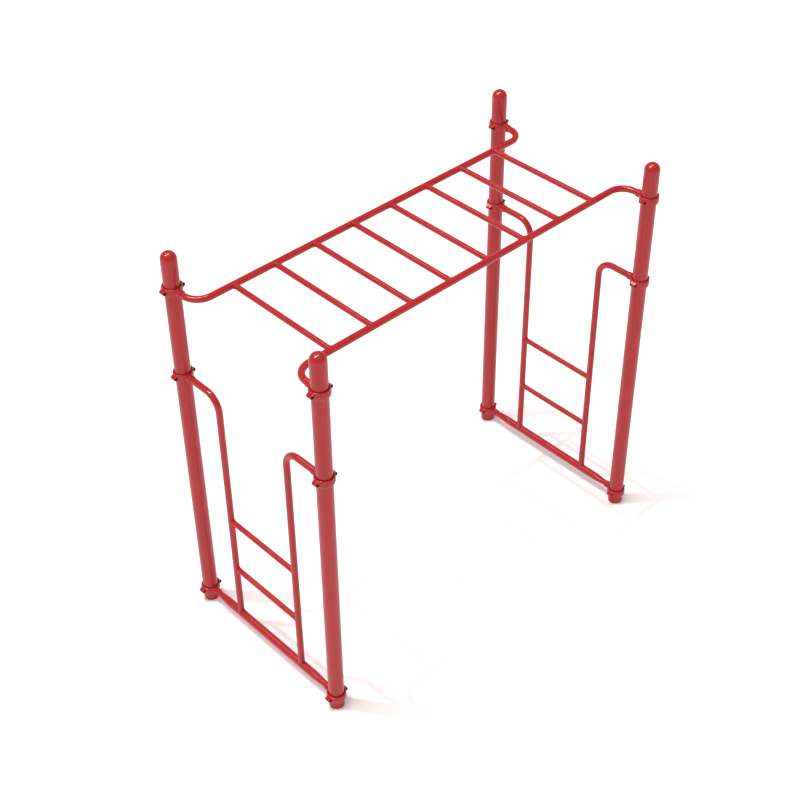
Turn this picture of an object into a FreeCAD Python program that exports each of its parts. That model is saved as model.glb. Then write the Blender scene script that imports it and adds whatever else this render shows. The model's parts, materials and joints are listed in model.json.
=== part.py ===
import FreeCAD, Part
import math
import os

import Sketcher

# Free-standing monkey bars. Four round posts stand at the corners of a rectangle. Two bent
# overhead rails with rungs between them hang at the posts' tops, and a short climbing ladder
# closes each end. Every bent or straight tube meets its post in a two-piece bolted clamp.
#
# Frame: +X along the overhead ladder, from the front end to the back end; +Y to the left of a
# climber who faces +X; +Z up. The origin is on the ground, midway between the four posts.
# Lengths are in millimetres.

DIMENSIONS = (
    ("post_spacing_along", 2400.0),
    ("post_spacing_across", 1143.0),
    ("post_diameter", 88.9),
    ("post_wall", 3.2),
    ("post_tube_height", 2455.6),
    ("cap_wall", 4.0),
    ("cap_spigot_depth", 38.0),
    ("cap_spigot_clearance", 0.3),
    ("overhead_height", 2275.0),
    ("rail_spacing", 755.0),
    ("rail_diameter", 38.1),
    ("rail_wall", 2.6),
    ("rail_bend_radius", 98.5),
    ("weld_gap", 0.4),
    ("rung_diameter", 31.75),
    ("rung_wall", 2.6),
    ("rung_pitch", 273.3),
    ("upright_spacing", 547.3),
    ("upright_bend_radius", 98.5),
    ("upright_top_height", 1719.3),
    ("base_rail_height", 81.2),
    ("base_rail_diameter", 48.3),
    ("swage_start_reach", 106.0),
    ("swage_end_reach", 179.0),
    ("low_rung_height", 453.5),
    ("high_rung_height", 833.5),
    ("clamp_height", 46.0),
    ("clamp_middle_diameter", 113.0),
    ("clamp_rim_diameter", 106.0),
    ("clamp_rim_rounding", 2.5),
    ("clamp_mouth_chamfer", 3.0),
    ("clamp_split_gap", 1.5),
    ("lug_bolt_offset", 60.5),
    ("lug_tip_radius", 11.0),
    ("lug_root_offset", 45.0),
    ("lug_root_half_height", 22.0),
    ("lug_depth", 17.0),
    ("lug_rounding", 1.5),
    ("boss_diameter", 45.0),
    ("boss_root_reach", 46.0),
    ("boss_reach", 83.0),
    ("boss_rounding", 1.5),
    ("socket_floor_reach", 50.0),
    ("bolt_diameter", 8.0),
    ("bolt_clearance", 0.5),
    ("recess_diameter", 18.0),
    ("recess_floor", 6.0),
    ("fastener_head_diameter", 14.0),
    ("bolt_head_height", 6.0),
    ("hex_key_size", 5.0),
    ("hex_key_depth", 3.5),
    ("nut_height", 6.5),
    ("bolt_end_gap", 1.0),
    ("rivet_diameter", 4.8),
    ("rivet_reach", 68.0),
    ("rivet_flange_diameter", 9.5),
    ("rivet_flange_height", 1.6),
    ("rivet_tail", 2.0),
)

RUNG_COUNT = 8

# Each corner of the plan, with the sign of its X and of its Y.
CORNERS = {
    "front_left": (-1, 1),
    "front_right": (-1, -1),
    "back_left": (1, 1),
    "back_right": (1, -1),
}
ENDS = {"front": -1, "back": 1}
SIDES = {"left": 1, "right": -1}

Y_AXIS = FreeCAD.Vector(0, 1, 0)
Z_AXIS = FreeCAD.Vector(0, 0, 1)

# Sketcher's own numbers: the sketch's two axes, and the three points of a line or an arc.
HORIZONTAL = -1
VERTICAL = -2
START, END, CENTRE = 1, 2, 3


class Length:
    """A length that knows both its number and the sheet expression that gives it."""

    def __init__(self, value, text):
        self.value = value
        self.text = text

    @staticmethod
    def of(other):
        if isinstance(other, Length):
            return other
        return Length(float(other), f"({other})")

    def combine(self, sign, other, value):
        return Length(value, f"({self.text} {sign} {Length.of(other).text})")

    def __add__(self, other):
        return self.combine("+", other, self.value + Length.of(other).value)

    def __sub__(self, other):
        return self.combine("-", other, self.value - Length.of(other).value)

    def __mul__(self, other):
        return self.combine("*", other, self.value * Length.of(other).value)

    def __truediv__(self, other):
        return self.combine("/", other, self.value / Length.of(other).value)

    def __neg__(self):
        return self * -1


ZERO = Length(0.0, "0")

document = FreeCAD.newDocument("monkey_bars")


def make_sheet():
    """Fill the spreadsheet, one row for each driving dimension: its name, then its value."""
    sheet = document.addObject("Spreadsheet::Sheet", "dims")
    for row, (alias, value) in enumerate(DIMENSIONS, start=1):
        sheet.set(f"A{row}", alias)
        sheet.set(f"B{row}", str(value))
        sheet.setAlias(f"B{row}", alias)
    document.recompute()
    return {alias: Length(value, f"dims.{alias}") for alias, value in DIMENSIONS}


size = make_sheet()

post_radius = size["post_diameter"] / 2
post_bore_radius = post_radius - size["post_wall"]
rail_radius = size["rail_diameter"] / 2
rung_radius = size["rung_diameter"] / 2
base_rail_radius = size["base_rail_diameter"] / 2
saddle_radius = rail_radius + size["weld_gap"]
base_saddle_radius = base_rail_radius + size["weld_gap"]
half_along = size["post_spacing_along"] / 2
half_across = size["post_spacing_across"] / 2
half_gap = size["clamp_split_gap"] / 2
socket_y = half_across - size["socket_floor_reach"]
swage_start = half_across - size["swage_start_reach"]
swage_end = half_across - size["swage_end_reach"]


def bind(thing, prop, length):
    """Tie one property of a document object to the sheet."""
    thing.setExpression(prop, length.text)


def place(thing, x, y, z, turn=0):
    """Put a sub-part at a point of the frame, turned about Z by so many degrees."""
    thing.Placement = FreeCAD.Placement(
        FreeCAD.Vector(x.value, y.value, z.value), FreeCAD.Rotation(Z_AXIS, turn)
    )
    bind(thing, "Placement.Base.x", x)
    bind(thing, "Placement.Base.y", y)
    bind(thing, "Placement.Base.z", z)


def new_body(label):
    body = document.addObject("PartDesign::Body", label)
    body.Label = label
    return body


def plane_of(body, role):
    return next(o for o in body.Origin.OriginFeatures if o.Role == role)


def new_sketch(body, role, name, offset=ZERO):
    """A sketch on one of the body's origin planes, moved along the plane's normal by offset."""
    sketch = body.newObject("Sketcher::SketchObject", f"{body.Name}_{name}")
    sketch.AttachmentSupport = [(plane_of(body, role), "")]
    sketch.MapMode = "FlatFace"
    if offset is not ZERO:
        sketch.AttachmentOffset = FreeCAD.Placement(
            FreeCAD.Vector(0, 0, offset.value), FreeCAD.Rotation()
        )
        bind(sketch, "AttachmentOffset.Base.z", offset)
    return sketch


def constrain(sketch, length, kind, *where):
    index = sketch.addConstraint(Sketcher.Constraint(kind, *where, length.value))
    bind(sketch, f"Constraints[{index}]", length)


def pin(sketch, geometry, point, across, up):
    """Fix one sketch point by its distances from the sketch's origin."""
    for kind, distance, axis in (("DistanceX", across, VERTICAL), ("DistanceY", up, HORIZONTAL)):
        if distance.value == 0:
            sketch.addConstraint(Sketcher.Constraint("PointOnObject", geometry, point, axis))
        else:
            constrain(sketch, distance, kind, HORIZONTAL, START, geometry, point)


def vector(across, up):
    return FreeCAD.Vector(across.value, up.value, 0)


def draw_circle(sketch, radius, across=ZERO, up=ZERO):
    circle = sketch.addGeometry(Part.Circle(vector(across, up), Z_AXIS, radius.value))
    pin(sketch, circle, CENTRE, across, up)
    constrain(sketch, radius, "Radius", circle)


def arc_between(first, last, radius, left):
    """The short arc from first to last whose centre is on the left, or the right, of its chord."""
    chord = last - first
    normal = FreeCAD.Vector(-chord.y, chord.x, 0) / chord.Length
    rise = math.sqrt(max(radius**2 - (chord.Length / 2) ** 2, 0))
    side = 1 if left else -1
    centre = (first + last) / 2 + normal * rise * side
    middle = centre + ((first + last) / 2 - centre).normalize() * radius
    return Part.Arc(first, middle, last)


def draw_chain(sketch, corners, bends, closed):
    """Join the corners in turn by lines. bends says which joins are arcs: {number: (radius, left)}."""
    count = len(corners) if closed else len(corners) - 1
    pieces = []
    reversed_arcs = set()
    for i in range(count):
        first = vector(*corners[i])
        last = vector(*corners[(i + 1) % len(corners)])
        if i in bends:
            radius, left = bends[i]
            piece = sketch.addGeometry(arc_between(first, last, radius.value, left))
            constrain(sketch, radius, "Radius", piece)
            if not left:
                reversed_arcs.add(piece)
        else:
            piece = sketch.addGeometry(Part.LineSegment(first, last))
        pieces.append(piece)

    def tip(piece, leading):
        """The number of a piece's first or last point: a sketch's arc always runs anticlockwise."""
        return START if leading != (piece in reversed_arcs) else END

    for i, corner in enumerate(corners):
        after = i if i < count else None
        before = (i - 1) % count if closed or i > 0 else None
        if after is not None and after not in bends:
            pin(sketch, pieces[after], START, *corner)
        else:
            pin(sketch, pieces[before], END, *corner)
        if after is not None and before is not None:
            sketch.addConstraint(
                Sketcher.Constraint(
                    "Coincident",
                    pieces[before],
                    tip(pieces[before], False),
                    pieces[after],
                    tip(pieces[after], True),
                )
            )


def draw_box(sketch, left, right, bottom, top):
    draw_chain(sketch, [(left, bottom), (right, bottom), (right, top), (left, top)], {}, True)


def add_pad(body, sketch, length, name, reverse=False, symmetric=False):
    pad = body.newObject("PartDesign::Pad", f"{body.Name}_{name}")
    pad.Profile = sketch
    bind(pad, "Length", length)
    pad.Reversed = reverse
    pad.SideType = "Symmetric" if symmetric else "One side"
    return pad


def add_pocket(body, sketch, name, symmetric=False, length=None):
    """Cut a sketch through the body, or down to a length, against its plane's normal."""
    pocket = body.newObject("PartDesign::Pocket", f"{body.Name}_{name}")
    pocket.Profile = sketch
    pocket.SideType = "Symmetric" if symmetric else "One side"
    if length is None:
        pocket.Type = "ThroughAll"
    else:
        bind(pocket, "Length", length)
    return pocket


def add_fillet(body, radius, name, chosen):
    """Round the edges of the body's present shape that chosen() accepts."""
    document.recompute()
    base = body.Tip
    edges = [f"Edge{i}" for i, edge in enumerate(base.Shape.Edges, start=1) if chosen(edge)]
    fillet = body.newObject("PartDesign::Fillet", f"{body.Name}_{name}")
    fillet.Base = (base, edges)
    bind(fillet, "Radius", radius)
    return fillet


def is_circle(edge, radius):
    return isinstance(edge.Curve, Part.Circle) and abs(edge.Curve.Radius - radius.value) < 0.01


# ---- posts -------------------------------------------------------------------------------


def make_post(corner):
    """A round tube, open at the foot and closed by the cap at the top."""
    body = new_body(f"post_{corner}")
    section = new_sketch(body, "XY_Plane", "section")
    draw_circle(section, post_radius)
    draw_circle(section, post_bore_radius)
    add_pad(body, section, size["post_tube_height"], "tube")
    along, across = CORNERS[corner]
    place(body, half_along * along, half_across * across, ZERO)
    return body


def make_cap(corner):
    """A cast dome as wide as the post, with a hollow spigot that drops into the tube."""
    body = new_body(f"dome_cap_{corner}")
    spigot_radius = post_bore_radius - size["cap_spigot_clearance"]
    hollow_radius = spigot_radius - size["cap_wall"]
    dome = body.newObject("PartDesign::AdditiveSphere", f"{body.Name}_dome")
    bind(dome, "Radius", post_radius)
    dome.Angle1 = 0
    spigot = new_sketch(body, "XY_Plane", "spigot_section")
    draw_circle(spigot, spigot_radius)
    add_pad(body, spigot, size["cap_spigot_depth"], "spigot", reverse=True)
    hollow = body.newObject("PartDesign::SubtractiveSphere", f"{body.Name}_hollow_dome")
    bind(hollow, "Radius", hollow_radius)
    bore = new_sketch(body, "XY_Plane", "hollow_section")
    draw_circle(bore, hollow_radius)
    add_pocket(body, bore, "hollow_spigot")
    along, across = CORNERS[corner]
    place(body, half_along * along, half_across * across, size["post_tube_height"])
    return body


# ---- clamps ------------------------------------------------------------------------------


def draw_lug(sketch, side):
    """The outline of one bolt lug, seen along the bolt: two flanks, tangent to a round tip."""
    root_x = size["lug_root_offset"] * side
    root_z = size["lug_root_half_height"]
    bolt_x = size["lug_bolt_offset"] * side
    radius = size["lug_tip_radius"]
    reach = FreeCAD.Vector(root_x.value - bolt_x.value, root_z.value, 0)
    lean = math.atan2(reach.y, reach.x) - side * math.acos(radius.value / reach.Length)
    touch = FreeCAD.Vector(math.cos(lean), math.sin(lean), 0) * radius.value
    centre = FreeCAD.Vector(bolt_x.value, 0, 0)
    above = centre + touch
    below = centre + FreeCAD.Vector(touch.x, -touch.y, 0)
    tip = centre + FreeCAD.Vector(side * radius.value, 0, 0)
    root_above = vector(root_x, root_z)
    root_below = vector(root_x, -root_z)
    upper = sketch.addGeometry(Part.LineSegment(root_above, above))
    arc = sketch.addGeometry(Part.Arc(below, tip, above))
    lower = sketch.addGeometry(Part.LineSegment(below, root_below))
    root = sketch.addGeometry(Part.LineSegment(root_below, root_above))
    arc_above, arc_below = (END, START) if side > 0 else (START, END)
    sketch.addConstraint(Sketcher.Constraint("Coincident", root, END, upper, START))
    sketch.addConstraint(Sketcher.Constraint("Coincident", lower, END, root, START))
    sketch.addConstraint(Sketcher.Constraint("Tangent", upper, END, arc, arc_above))
    sketch.addConstraint(Sketcher.Constraint("Tangent", lower, START, arc, arc_below))
    pin(sketch, root, END, root_x, root_z)
    pin(sketch, root, START, root_x, -root_z)
    pin(sketch, arc, CENTRE, bolt_x, ZERO)
    constrain(sketch, radius, "Radius", arc)


def add_collar(body):
    """The half ring round the post: it bulges outwards, with round rims and a chamfered bore."""
    half_height = size["clamp_height"] / 2
    rim_radius = size["clamp_rim_diameter"] / 2
    bulge = (size["clamp_middle_diameter"] - size["clamp_rim_diameter"]) / 2
    bulge_radius = (bulge * bulge + half_height * half_height) / (bulge * 2)
    mouth_radius = post_radius + size["clamp_mouth_chamfer"]
    grip_half_height = half_height - size["clamp_mouth_chamfer"]
    section = new_sketch(body, "XZ_Plane", "collar_section")
    corners = [
        (mouth_radius, -half_height),
        (rim_radius, -half_height),
        (rim_radius, half_height),
        (mouth_radius, half_height),
        (post_radius, grip_half_height),
        (post_radius, -grip_half_height),
    ]
    draw_chain(section, corners, {1: (bulge_radius, True)}, True)
    ring = body.newObject("PartDesign::Revolution", f"{body.Name}_collar")
    ring.Profile = section
    ring.ReferenceAxis = (section, ["V_Axis"])
    ring.Angle = 180
    add_fillet(body, size["clamp_rim_rounding"], "rims", lambda e: is_circle(e, rim_radius))


def add_lugs(body):
    """A bolt lug on each side of the post, standing out along X."""
    lugs = new_sketch(body, "XZ_Plane", "lug_outlines")
    draw_lug(lugs, 1)
    draw_lug(lugs, -1)
    add_pad(body, lugs, size["lug_depth"], "lugs", reverse=True)

    def on_lug_face(edge):
        box = edge.BoundBox
        on_face = box.YLength < 0.01 and abs(box.Center.y - size["lug_depth"].value) < 0.01
        return on_face and isinstance(edge.Curve, (Part.Line, Part.Circle))

    add_fillet(body, size["lug_rounding"], "lug_edges", on_lug_face)


def add_boss(body):
    """The round boss that receives the end of a tube."""
    outline = new_sketch(body, "XZ_Plane", "boss_section", offset=-size["boss_root_reach"])
    boss_radius = size["boss_diameter"] / 2
    draw_circle(outline, boss_radius)
    add_pad(body, outline, size["boss_reach"] - size["boss_root_reach"], "boss", reverse=True)

    def on_boss_end(edge):
        return is_circle(edge, boss_radius) and edge.BoundBox.YMin > size["boss_reach"].value - 0.01

    add_fillet(body, size["boss_rounding"], "boss_edge", on_boss_end)


def cut_split(body):
    """Trim the half back from the plane where it would meet the other half."""
    reach = size["clamp_middle_diameter"]
    face = new_sketch(body, "XZ_Plane", "split_face")
    draw_box(face, -reach, reach, -reach, reach)
    add_pocket(body, face, "split", length=half_gap)


def cut_bolt_holes(body):
    """A through hole in each lug, and the wider recess that hides the bolt's head or nut."""
    hole_radius = size["bolt_diameter"] / 2 + size["bolt_clearance"]
    holes = new_sketch(body, "XZ_Plane", "bolt_holes")
    recesses = new_sketch(body, "XZ_Plane", "bolt_recesses", offset=-size["recess_floor"])
    for side in (-1, 1):
        draw_circle(holes, hole_radius, across=size["lug_bolt_offset"] * side)
        draw_circle(recesses, size["recess_diameter"] / 2, across=size["lug_bolt_offset"] * side)
    add_pocket(body, holes, "holes")
    add_pocket(body, recesses, "recesses")


def make_clamp_half(label, corner, height, holds_tube):
    """Half of a post clamp. The tube half faces the opposite post; the outer half backs it."""
    body = new_body(label)
    add_collar(body)
    add_lugs(body)
    if holds_tube:
        add_boss(body)
    cut_split(body)
    cut_bolt_holes(body)
    if holds_tube:
        socket = new_sketch(body, "XZ_Plane", "socket", offset=-size["socket_floor_reach"])
        draw_circle(socket, rail_radius)
        add_pocket(body, socket, "socket")
        rivet = new_sketch(body, "XY_Plane", "rivet_hole")
        draw_circle(rivet, size["rivet_diameter"] / 2, up=size["rivet_reach"])
        add_pocket(body, rivet, "rivet_hole")
    along, across = CORNERS[corner]
    turned = (across > 0) == holds_tube
    place(body, half_along * along, half_across * across, height, 180 if turned else 0)
    return body


# ---- tubes -------------------------------------------------------------------------------


def draw_tube_section(sketch, radius, wall, across=ZERO, up=ZERO):
    draw_circle(sketch, radius, across, up)
    draw_circle(sketch, radius - wall, across, up)


def sweep_tube(body, radius, wall, profile_plane, path_plane, corners, bends):
    """A bent tube: a ring swept along straight runs joined by round bends."""
    section = new_sketch(body, profile_plane, "section")
    draw_tube_section(section, radius, wall)
    path = new_sketch(body, path_plane, "centre_line")
    draw_chain(path, corners, bends, False)
    pipe = body.newObject("PartDesign::AdditivePipe", f"{body.Name}_tube")
    pipe.Profile = section
    pipe.Spine = path
    pipe.Transition = "Transformed"
    return pipe


def make_overhead_rail(side_name):
    """A horizontal rail whose two ends turn outwards, one to each post on its side."""
    body = new_body(f"overhead_rail_{side_name}")
    bend = size["rail_bend_radius"]
    inset = socket_y - size["rail_spacing"] / 2
    length = size["post_spacing_along"]
    corners = [
        (ZERO, ZERO),
        (ZERO, -(inset - bend)),
        (bend, -inset),
        (length - bend, -inset),
        (length, -(inset - bend)),
        (length, ZERO),
    ]
    bends = {1: (bend, True), 3: (bend, True)}
    sweep_tube(body, rail_radius, size["rail_wall"], "XZ_Plane", "XY_Plane", corners, bends)
    rivet_inset = size["rivet_reach"] - size["socket_floor_reach"]
    holes = new_sketch(body, "XY_Plane", "rivet_holes")
    for end in (ZERO, length):
        draw_circle(holes, size["rivet_diameter"] / 2, across=end, up=-rivet_inset)
    add_pocket(body, holes, "rivet_holes")
    side = SIDES[side_name]
    place(body, -half_along * side, socket_y * side, size["overhead_height"], 0 if side > 0 else 180)
    return body


def make_upright(corner):
    """A ladder upright that stands on the base rail and turns outwards to its post."""
    body = new_body(f"upright_{corner}")
    bend = size["upright_bend_radius"]
    rise = size["upright_top_height"] - size["base_rail_height"]
    reach = socket_y - size["upright_spacing"] / 2
    corners = [(ZERO, ZERO), (ZERO, rise - bend), (bend, rise), (reach, rise)]
    bends = {1: (bend, False)}
    sweep_tube(body, rail_radius, size["rail_wall"], "XY_Plane", "YZ_Plane", corners, bends)
    saddle = new_sketch(body, "XZ_Plane", "base_rail_saddle")
    draw_circle(saddle, base_saddle_radius)
    add_pocket(body, saddle, "saddle", symmetric=True)
    rivet_inset = size["rivet_reach"] - size["socket_floor_reach"]
    hole = new_sketch(body, "XY_Plane", "rivet_hole", offset=rise)
    draw_circle(hole, size["rivet_diameter"] / 2, up=reach - rivet_inset)
    add_pocket(body, hole, "rivet_hole")
    along, across = CORNERS[corner]
    place(
        body,
        half_along * along,
        size["upright_spacing"] / 2 * across,
        size["base_rail_height"],
        0 if across > 0 else 180,
    )
    return body


def make_base_rail(end_name):
    """The thick tube near the ground between two posts, its ends swaged down to fit the bosses."""
    body = new_body(f"base_rail_{end_name}")
    section = new_sketch(body, "XY_Plane", "section")
    outside = [
        (rail_radius, -socket_y),
        (rail_radius, -swage_start),
        (base_rail_radius, -swage_end),
        (base_rail_radius, swage_end),
        (rail_radius, swage_start),
        (rail_radius, socket_y),
    ]
    inside = [(radius - size["rail_wall"], y) for radius, y in reversed(outside)]
    draw_chain(section, outside + inside, {}, True)
    tube = body.newObject("PartDesign::Revolution", f"{body.Name}_tube")
    tube.Profile = section
    tube.ReferenceAxis = (section, ["V_Axis"])
    tube.Angle = 360
    holes = new_sketch(body, "XY_Plane", "rivet_holes")
    for side in SIDES.values():
        rivet_y = (half_across - size["rivet_reach"]) * side
        draw_circle(holes, size["rivet_diameter"] / 2, up=rivet_y)
    add_pocket(body, holes, "rivet_holes")
    place(body, half_along * ENDS[end_name], ZERO, size["base_rail_height"])
    return body


def make_rung(label, spacing, saddle_plane, x, z):
    """A rung along Y, its two ends hollowed to fit round the tubes that it is welded to."""
    body = new_body(label)
    section = new_sketch(body, "XZ_Plane", "section")
    draw_tube_section(section, rung_radius, size["rung_wall"])
    add_pad(body, section, spacing, "tube", symmetric=True)
    saddles = new_sketch(body, saddle_plane, "saddles")
    for side in SIDES.values():
        if saddle_plane == "YZ_Plane":
            draw_circle(saddles, saddle_radius, across=spacing / 2 * side)
        else:
            draw_circle(saddles, saddle_radius, up=spacing / 2 * side)
    add_pocket(body, saddles, "saddles", symmetric=True)
    place(body, x, ZERO, z)
    return body


# ---- fasteners ---------------------------------------------------------------------------


def cylinder(name, radius, height, direction, x=ZERO, y=ZERO, z=ZERO):
    """A Part::Cylinder that starts at a point and runs along a direction of the frame."""
    shape = document.addObject("Part::Cylinder", name)
    bind(shape, "Radius", radius)
    bind(shape, "Height", height)
    shape.Placement = FreeCAD.Placement(
        FreeCAD.Vector(x.value, y.value, z.value), FreeCAD.Rotation(Z_AXIS, direction)
    )
    bind(shape, "Placement.Base.x", x)
    bind(shape, "Placement.Base.y", y)
    bind(shape, "Placement.Base.z", z)
    return shape


def cut(name, base, tool):
    result = document.addObject("Part::Cut", name)
    result.Base = base
    result.Tool = tool
    return result


def fuse(name, first, second):
    result = document.addObject("Part::Fuse", name)
    result.Base = first
    result.Tool = second
    return result


def make_bolt(name, x, y, z, outwards):
    """A socket-head bolt whose head sits in the outer half's recess, at y along outwards."""
    inwards = -outwards
    floor = y + size["recess_floor"] * outwards.y
    head_radius = size["fastener_head_diameter"] / 2
    head = cylinder(f"{name}_head", head_radius, size["bolt_head_height"], outwards, x, floor, z)
    shank_length = size["recess_floor"] * 2 + size["nut_height"] - size["bolt_end_gap"]
    shank = cylinder(f"{name}_shank", size["bolt_diameter"] / 2, shank_length, inwards, x, floor, z)
    key = document.addObject("Part::Prism", f"{name}_key")
    key.Polygon = 6
    bind(key, "Circumradius", size["hex_key_size"] / 3 * math.sqrt(3))
    bind(key, "Height", size["hex_key_depth"])
    key_y = floor + (size["bolt_head_height"] - size["hex_key_depth"]) * outwards.y
    key.Placement = FreeCAD.Placement(
        FreeCAD.Vector(x.value, key_y.value, z.value), FreeCAD.Rotation(Z_AXIS, outwards)
    )
    bind(key, "Placement.Base.x", x)
    bind(key, "Placement.Base.y", key_y)
    bind(key, "Placement.Base.z", z)
    return cut(name, fuse(f"{name}_blank", head, shank), key)


def make_nut(name, x, y, z, outwards):
    """A round barrel nut in the tube half's recess, on the far side from the bolt's head."""
    inwards = -outwards
    floor = y + size["recess_floor"] * inwards.y
    head_radius = size["fastener_head_diameter"] / 2
    barrel = cylinder(f"{name}_barrel", head_radius, size["nut_height"], inwards, x, floor, z)
    thread = cylinder(
        f"{name}_thread", size["bolt_diameter"] / 2, size["nut_height"], inwards, x, floor, z
    )
    return cut(name, barrel, thread)


def make_rivet(name, x, y, z):
    """A blind rivet that pins a tube's end in its boss from below."""
    boss_radius = size["boss_diameter"] / 2
    grip = boss_radius - rail_radius + size["rail_wall"] + size["rivet_tail"]
    skin = z - boss_radius
    flange_base = skin - size["rivet_flange_height"]
    flange_radius = size["rivet_flange_diameter"] / 2
    flange = cylinder(
        f"{name}_flange", flange_radius, size["rivet_flange_height"], Z_AXIS, x, y, flange_base
    )
    shank = cylinder(
        f"{name}_shank", size["rivet_diameter"] / 2, grip, Z_AXIS, x, y, skin
    )
    return fuse(name, flange, shank)


def group(label, members):
    """One sub-part that holds several identical fasteners, each a solid of its own."""
    compound = document.addObject("Part::Compound", label)
    compound.Label = label
    compound.Links = members
    compound.Placement = FreeCAD.Placement()
    return compound


def make_clamp_fasteners(level, height):
    bolts = []
    nuts = []
    for corner, (along, across) in CORNERS.items():
        outwards = Y_AXIS * across
        for number, side in enumerate((-1, 1), start=1):
            x = half_along * along + size["lug_bolt_offset"] * side
            y = half_across * across
            where = f"{level}_{corner}_{number}"
            bolts.append(make_bolt(f"bolt_{where}", x, y, height, outwards))
            nuts.append(make_nut(f"nut_{where}", x, y, height, outwards))
    return [group(f"clamp_bolts_{level}", bolts), group(f"clamp_nuts_{level}", nuts)]


def make_rivets(levels):
    rivets = []
    for level, height in levels.items():
        for corner, (along, across) in CORNERS.items():
            y = (half_across - size["rivet_reach"]) * across
            rivets.append(make_rivet(f"rivet_{level}_{corner}", half_along * along, y, height))
    return group("tube_rivets", rivets)


# ---- the whole structure -----------------------------------------------------------------


def build():
    levels = {
        "top": size["overhead_height"],
        "middle": size["upright_top_height"],
        "base": size["base_rail_height"],
    }
    parts = []
    for corner in CORNERS:
        parts.append(make_post(corner))
        parts.append(make_cap(corner))
        parts.append(make_upright(corner))
        for level, height in levels.items():
            parts.append(make_clamp_half(f"clamp_tube_half_{level}_{corner}", corner, height, True))
            parts.append(make_clamp_half(f"clamp_outer_half_{level}_{corner}", corner, height, False))
    for side_name in SIDES:
        parts.append(make_overhead_rail(side_name))
    for number in range(RUNG_COUNT):
        x = size["rung_pitch"] * (number - (RUNG_COUNT - 1) / 2)
        parts.append(
            make_rung(
                f"overhead_rung_{number + 1}",
                size["rail_spacing"],
                "YZ_Plane",
                x,
                size["overhead_height"],
            )
        )
    for end_name, along in ENDS.items():
        parts.append(make_base_rail(end_name))
        for rung_name in ("low", "high"):
            parts.append(
                make_rung(
                    f"end_rung_{rung_name}_{end_name}",
                    size["upright_spacing"],
                    "XY_Plane",
                    half_along * along,
                    size[f"{rung_name}_rung_height"],
                )
            )
    for level, height in levels.items():
        parts.extend(make_clamp_fasteners(level, height))
    parts.append(make_rivets(levels))
    return parts


def check_and_write(parts):
    """Refuse a failed feature or an unsound solid, then write one STEP file for each sub-part."""
    document.recompute()
    failed = [o.Name for o in document.Objects if {"Invalid", "Error"} & set(o.State)]
    if failed:
        raise RuntimeError(f"features failed: {failed}")
    for part in parts:
        if part.Shape.isNull() or not part.Shape.isValid() or not part.Shape.Solids:
            raise RuntimeError(f"{part.Label} has no sound solid")
    os.makedirs("parts", exist_ok=True)
    for part in parts:
        part.Shape.exportStep(f"parts/{part.Label}.step")
    print(f"{len(parts)} sub-parts written")


check_and_write(build())
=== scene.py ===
import json
import math

import bmesh
import bpy
from mathutils import Matrix, Vector


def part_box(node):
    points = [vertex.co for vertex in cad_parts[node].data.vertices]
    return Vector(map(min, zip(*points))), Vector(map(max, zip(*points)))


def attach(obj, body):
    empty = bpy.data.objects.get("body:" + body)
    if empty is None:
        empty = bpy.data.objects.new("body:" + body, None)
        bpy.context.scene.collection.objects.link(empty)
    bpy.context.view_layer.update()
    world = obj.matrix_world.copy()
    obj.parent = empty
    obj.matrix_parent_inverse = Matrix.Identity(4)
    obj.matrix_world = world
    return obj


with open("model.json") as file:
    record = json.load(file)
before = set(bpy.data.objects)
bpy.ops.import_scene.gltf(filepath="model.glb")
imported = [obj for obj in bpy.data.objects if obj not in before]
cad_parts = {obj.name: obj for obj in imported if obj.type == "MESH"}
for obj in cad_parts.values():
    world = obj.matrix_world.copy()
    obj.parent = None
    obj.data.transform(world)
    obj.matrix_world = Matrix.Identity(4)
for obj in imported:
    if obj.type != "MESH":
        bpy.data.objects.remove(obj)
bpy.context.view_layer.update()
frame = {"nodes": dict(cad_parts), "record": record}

# Monkey bars in red powder coat on a white studio floor. The CAD nodes keep their shapes and
# get their paint here. This script adds the weld beads, the floor, the lights and the camera.
# Lengths are in metres, in the CAD's frame: +X along the overhead ladder, +Z up.

MM = 0.001

# The view: the camera looks down at a point between the posts from the front right.
CAMERA_TARGET = Vector((-0.1446, 0.0085, 1.25705))
CAMERA_DISTANCE = 8.5373
CAMERA_HEADING = math.radians(47.007)
CAMERA_DIP = math.radians(39.794)
CAMERA_ROLL = math.radians(-0.634)
CAMERA_LENS = 67.538
CAMERA_SIGHT = 200

# The soft key: its tilt from the zenith towards the left of the picture, its spread across in
# degrees, and the light that it throws on a facing surface.
SOFT_KEY = (14.0, 24.0, 1.36)
# The sharp key: a small lamp far above, its place and radius in metres, and its power in watts.
SHARP_KEY = ((-5.745, 5.46, 35.6), 0.15, 11800.0)

# The sky's radiance as diffuse light, as seen in reflections, and as the background of the view.
# All the light is a warm white.
SKY = 0.74
SKY_IN_GLOSS = 0.2
SKY_IN_VIEW = 1.2
LIGHT_TINT = (1.12, 1.0, 1.0)
# Strips overhead, on a ceiling at height 1: each one's two ends, its width and its radiance.
# The first draws a line along the base rails, and the other two a bent glint on each cap.
STRIPS = (
    ((-0.16, 0.70), (-0.16, 0.45), 0.10, 9.0),
    ((-0.60, 0.40), (-0.30, 0.02), 0.22, 22.0),
    ((-0.28, 0.03), (0.25, 0.10), 0.10, 18.0),
)
STRIP_HEIGHT = 20.0
# The floor's reach from the origin, its whiteness, and how much of that shows in reflections.
FLOOR_REACH = 60.0
FLOOR_ALBEDO = 0.95
FLOOR_IN_GLOSS = 0.63

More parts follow.
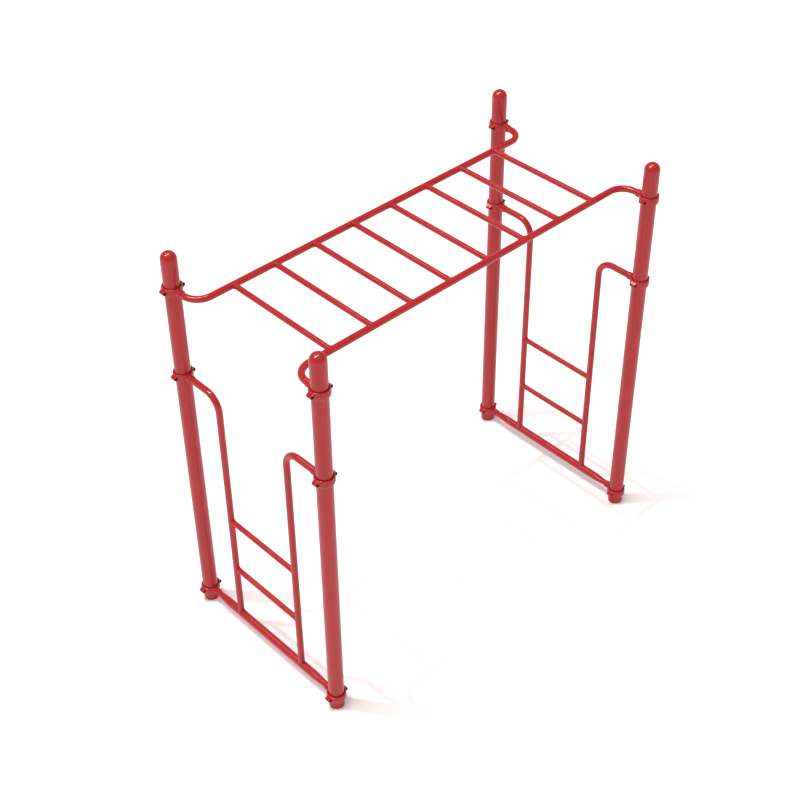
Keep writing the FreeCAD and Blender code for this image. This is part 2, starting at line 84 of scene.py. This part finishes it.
# Each slot's powder coat: two near reds, the base's roughness, the weight of the clear gloss
# over it, and the grain's size and depth in mm.
PAINT_IOR = 1.5
PAINT_SPECULAR = 0.1
COAT_ROUGHNESS = 0.08
COAT_IOR = 1.5
PAINTS = {
    "post_paint": ((0.37, 0.013, 0.015), (0.39, 0.015, 0.017), 0.5, 1.0, 3.0, 0.01),
    "tube_paint": ((0.37, 0.013, 0.015), (0.39, 0.015, 0.017), 0.5, 1.0, 3.0, 0.01),
    "clamp_paint": ((0.36, 0.012, 0.014), (0.38, 0.014, 0.016), 0.5, 1.0, 2.0, 0.02),
    "cap_paint": ((0.36, 0.014, 0.016), (0.38, 0.016, 0.018), 0.45, 1.0, 3.0, 0.01),
    # The fasteners' near-black red is painted shade: it darkens the bolt heads deep in the
    # counterbores to the shade of those recesses.
    "fastener_paint": ((0.020, 0.001, 0.001), (0.030, 0.001, 0.001), 0.5, 0.1, 1.0, 0.01),
}
# The tint and the gloss drift together: how many drifts there are to a metre, how fine they are,
# the part of their range that blends the two reds, and how far the roughness swings each way.
DRIFTS_PER_METRE = 7.0
DRIFT_DETAIL = 3.0
TINT_BLEND = (0.3, 0.7)
ROUGHNESS_SWING = 0.03
GRAIN_DETAIL = 2.0

# The weld beads: their half thickness in mm, how many ripples each has, and how deep those are.
BEAD_RADIUS = 3.0
BEAD_RIPPLES = 28
RIPPLE_DEPTH = 0.12
POINTS_PER_RIPPLE = 4
POINTS_ACROSS_BEAD = 8


def view_axes():
    """The camera's right, up and backward directions."""
    dip, heading = CAMERA_DIP, CAMERA_HEADING
    forward = Vector(
        (math.cos(heading) * math.cos(dip), math.sin(heading) * math.cos(dip), -math.sin(dip))
    )
    right = Vector((math.sin(heading), -math.cos(heading), 0))
    up = right.cross(forward)
    turn = Matrix.Rotation(CAMERA_ROLL, 3, -forward)
    return turn @ right, turn @ up, -forward


def make_camera():
    right, up, back = view_axes()
    camera = bpy.data.objects.new("camera", bpy.data.cameras.new("camera"))
    camera.data.lens = CAMERA_LENS
    camera.data.clip_end = CAMERA_SIGHT
    camera.matrix_world = Matrix(
        (
            (right.x, up.x, back.x, 0),
            (right.y, up.y, back.y, 0),
            (right.z, up.z, back.z, 0),
            (0, 0, 0, 1),
        )
    )
    camera.location = CAMERA_TARGET + back * CAMERA_DISTANCE
    bpy.context.scene.collection.objects.link(camera)
    bpy.context.scene.camera = camera


def socket(node, name, value):
    node.inputs[name].default_value = value


def make_paint(name, low, high, roughness, coat, grain_size, grain_depth):
    """Powder coat: two near reds that drift across the surface, gloss that varies, orange peel."""
    material = bpy.data.materials.new(name)
    material.use_nodes = True
    tree = material.node_tree
    shader = tree.nodes["Principled BSDF"]
    socket(shader, "IOR", PAINT_IOR)
    socket(shader, "Specular IOR Level", PAINT_SPECULAR)
    socket(shader, "Coat Weight", coat)
    socket(shader, "Coat Roughness", COAT_ROUGHNESS)
    socket(shader, "Coat IOR", COAT_IOR)

    place = tree.nodes.new("ShaderNodeTexCoord")
    drift = tree.nodes.new("ShaderNodeTexNoise")
    socket(drift, "Scale", DRIFTS_PER_METRE)
    socket(drift, "Detail", DRIFT_DETAIL)
    tree.links.new(place.outputs["Object"], drift.inputs["Vector"])

    tint = tree.nodes.new("ShaderNodeValToRGB")
    for stop, position, color in zip(tint.color_ramp.elements, TINT_BLEND, (low, high)):
        stop.position = position
        stop.color = (*color, 1)
    tree.links.new(drift.outputs["Fac"], tint.inputs["Fac"])
    tree.links.new(tint.outputs["Color"], shader.inputs["Base Color"])

    gloss = tree.nodes.new("ShaderNodeMapRange")
    socket(gloss, "To Min", roughness - ROUGHNESS_SWING)
    socket(gloss, "To Max", roughness + ROUGHNESS_SWING)
    tree.links.new(drift.outputs["Fac"], gloss.inputs["Value"])
    tree.links.new(gloss.outputs["Result"], shader.inputs["Roughness"])

    peel = tree.nodes.new("ShaderNodeTexNoise")
    socket(peel, "Scale", 1 / grain_size)
    socket(peel, "Detail", GRAIN_DETAIL)
    tree.links.new(place.outputs["Object"], peel.inputs["Vector"])
    bump = tree.nodes.new("ShaderNodeBump")
    socket(bump, "Strength", 1.0)
    socket(bump, "Distance", grain_depth)
    tree.links.new(peel.outputs["Fac"], bump.inputs["Height"])
    tree.links.new(bump.outputs["Normal"], shader.inputs["Normal"])
    return material


def paint_frame():
    """Give every CAD node the paint of its record slot."""
    paints = {
        slot: make_paint(slot, low, high, roughness, coat, grain_size * MM, grain_depth * MM)
        for slot, (low, high, roughness, coat, grain_size, grain_depth) in PAINTS.items()
    }
    for entry in frame["record"]["subparts"]:
        node = frame["nodes"][entry["node"]]
        node.data.materials.clear()
        node.data.materials.append(paints[entry["material_slot"]])
    return paints


def radius_of(node, axis):
    """Half a tube's thickness along one axis that its bends stay clear of."""
    low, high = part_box(node)
    return (high[axis] - low[axis]) / 2


def middle_of(node):
    low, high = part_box(node)
    return (Vector(low) + Vector(high)) / 2


def inner_axis(node, radius, side):
    """The Y of a bent tube's straight run, which lies on the side nearest the middle."""
    low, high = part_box(node)
    return low[1] + radius if side > 0 else high[1] - radius


def bead(mesh, centre, away, across, end_radius, side_radius):
    """A rippled ring of weld where one tube's end, running away, meets another tube's side."""
    third = away.cross(across)
    count = BEAD_RIPPLES * POINTS_PER_RIPPLE
    rings = []
    for i in range(count):
        turn = 2 * math.pi * i / count
        reach = math.sqrt(side_radius**2 - (end_radius * math.sin(turn)) ** 2)
        outwards = across * math.cos(turn) + third * math.sin(turn)
        middle = centre + outwards * end_radius + away * reach
        thickness = BEAD_RADIUS * MM * (1 + RIPPLE_DEPTH * math.cos(BEAD_RIPPLES * turn))
        ring = []
        for j in range(POINTS_ACROSS_BEAD):
            roll = 2 * math.pi * j / POINTS_ACROSS_BEAD
            point = middle + (outwards * math.cos(roll) + away * math.sin(roll)) * thickness
            ring.append(mesh.verts.new(point))
        rings.append(ring)
    for i in range(count):
        first, second = rings[i], rings[(i + 1) % count]
        for j in range(POINTS_ACROSS_BEAD):
            k = (j + 1) % POINTS_ACROSS_BEAD
            face = mesh.faces.new((first[j], first[k], second[k], second[j]))
            face.smooth = True


def finish_welds(name, mesh, paint):
    bmesh.ops.recalc_face_normals(mesh, faces=mesh.faces)
    data = bpy.data.meshes.new(name)
    mesh.to_mesh(data)
    mesh.free()
    data.materials.append(paint)
    welds = bpy.data.objects.new(name, data)
    bpy.context.scene.collection.objects.link(welds)
    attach(welds, "root")


def make_welds(paint):
    """Weld beads round both ends of every rung, and round the foot of every upright."""
    x_axis, y_axis, z_axis = Vector((1, 0, 0)), Vector((0, 1, 0)), Vector((0, 0, 1))
    sides = {"left": 1, "right": -1}
    nodes = [entry["node"] for entry in frame["record"]["subparts"]]

    mesh = bmesh.new()
    for node in nodes:
        if node.startswith("overhead_rung"):
            rung, rung_radius = middle_of(node), radius_of(node, 2)
            for side_name, side in sides.items():
                rail = f"overhead_rail_{side_name}"
                rail_radius = radius_of(rail, 2)
                centre = Vector((rung.x, inner_axis(rail, rail_radius, side), rung.z))
                bead(mesh, centre, y_axis * -side, x_axis, rung_radius, rail_radius)
    finish_welds("welds_overhead", mesh, paint)

    mesh = bmesh.new()
    for end_name in ("front", "back"):
        base_rail = f"base_rail_{end_name}"
        for side_name, side in sides.items():
            upright = f"upright_{end_name}_{side_name}"
            radius = radius_of(upright, 0)
            line = Vector((middle_of(upright).x, inner_axis(upright, radius, side), 0))
            foot = Vector((line.x, line.y, middle_of(base_rail).z))
            bead(mesh, foot, z_axis, y_axis, radius, radius_of(base_rail, 2))
            for level in ("low", "high"):
                rung = f"end_rung_{level}_{end_name}"
                centre = Vector((line.x, line.y, middle_of(rung).z))
                bead(mesh, centre, y_axis * -side, z_axis, radius_of(rung, 2), radius)
    finish_welds("welds_end_ladders", mesh, paint)


def make_floor():
    """A plain white floor that reaches past the edges of the view, dimmer in reflections."""
    mesh = bpy.data.meshes.new("floor")
    signs = ((-1, -1), (1, -1), (1, 1), (-1, 1))
    corners = [(along * FLOOR_REACH, across * FLOOR_REACH, 0) for along, across in signs]
    mesh.from_pydata(corners, [], [(0, 1, 2, 3)])
    floor = bpy.data.objects.new("floor", mesh)
    bpy.context.scene.collection.objects.link(floor)
    material = bpy.data.materials.new("floor_white")
    material.use_nodes = True
    tree = material.node_tree
    tree.nodes.clear()
    out = tree.nodes.new("ShaderNodeOutputMaterial")
    mix = tree.nodes.new("ShaderNodeMixShader")
    path = tree.nodes.new("ShaderNodeLightPath")
    shaders = []
    for albedo in (FLOOR_ALBEDO, FLOOR_ALBEDO * FLOOR_IN_GLOSS):
        shader = tree.nodes.new("ShaderNodeBsdfDiffuse")
        socket(shader, "Color", (albedo, albedo, albedo, 1))
        shaders.append(shader)
    tree.links.new(path.outputs["Is Glossy Ray"], mix.inputs["Fac"])
    tree.links.new(shaders[0].outputs["BSDF"], mix.inputs[1])
    tree.links.new(shaders[1].outputs["BSDF"], mix.inputs[2])
    tree.links.new(mix.outputs["Shader"], out.inputs["Surface"])
    mesh.materials.append(material)


def make_world():
    """A bright even sky for diffuse light, a dim one in reflections, and white behind the view."""
    world = bpy.data.worlds.new("studio")
    bpy.context.scene.world = world
    world.use_nodes = True
    tree = world.node_tree
    tree.nodes.clear()
    path = tree.nodes.new("ShaderNodeLightPath")

    def add_sky(color, strength):
        sky = tree.nodes.new("ShaderNodeBackground")
        socket(sky, "Color", (*color, 1))
        socket(sky, "Strength", strength)
        return sky.outputs["Background"]

    def choose(ray, otherwise, chosen):
        mix = tree.nodes.new("ShaderNodeMixShader")
        tree.links.new(path.outputs[ray], mix.inputs["Fac"])
        tree.links.new(otherwise, mix.inputs[1])
        tree.links.new(chosen, mix.inputs[2])
        return mix.outputs["Shader"]

    lit = choose("Is Glossy Ray", add_sky(LIGHT_TINT, SKY), add_sky(LIGHT_TINT, SKY_IN_GLOSS))
    seen = choose("Is Camera Ray", lit, add_sky((1, 1, 1), SKY_IN_VIEW))
    out = tree.nodes.new("ShaderNodeOutputWorld")
    tree.links.new(seen, out.inputs["Surface"])


def add_lamp(kind, name, energy):
    """A lamp that colours the diffuse light and stays out of reflections."""
    lamp = bpy.data.objects.new(name, bpy.data.lights.new(name, kind))
    lamp.data.energy = energy
    lamp.data.color = LIGHT_TINT
    lamp.visible_glossy = False
    bpy.context.scene.collection.objects.link(lamp)
    return lamp


def make_keys():
    tilt, spread, strength = SOFT_KEY
    right = view_axes()[0]
    left = Vector((-right.x, -right.y, 0)).normalized()
    lean = math.radians(tilt)
    towards = left * math.sin(lean) + Vector((0, 0, 1)) * math.cos(lean)
    soft = add_lamp("SUN", "soft_key", strength)
    soft.rotation_mode = "QUATERNION"
    soft.rotation_quaternion = towards.to_track_quat("Z", "Y")
    soft.data.angle = math.radians(spread)

    place, radius, power = SHARP_KEY
    sharp = add_lamp("POINT", "sharp_key", power)
    sharp.location = place
    sharp.data.shadow_soft_size = radius


def make_softbox():
    """Soft strips overhead, seen only as a line along the tubes and a glint on each cap."""
    for number, (start, end, width, radiance) in enumerate(STRIPS, start=1):
        first = Vector((*start, 1)) * STRIP_HEIGHT
        last = Vector((*end, 1)) * STRIP_HEIGHT
        run = last - first
        light = bpy.data.lights.new(f"strip_{number}", "AREA")
        light.shape = "RECTANGLE"
        light.size = run.length
        light.size_y = width * STRIP_HEIGHT
        light.energy = radiance * math.pi * light.size * light.size_y
        strip = bpy.data.objects.new(f"strip_{number}", light)
        strip.location = (first + last) / 2
        strip.rotation_euler = (0, 0, math.atan2(run.y, run.x))
        strip.visible_diffuse = False
        bpy.context.scene.collection.objects.link(strip)


make_camera()
paints = paint_frame()
make_welds(paints["tube_paint"])
make_floor()
make_world()
make_keys()
make_softbox()
bpy.context.scene.view_settings.view_transform = "Standard"
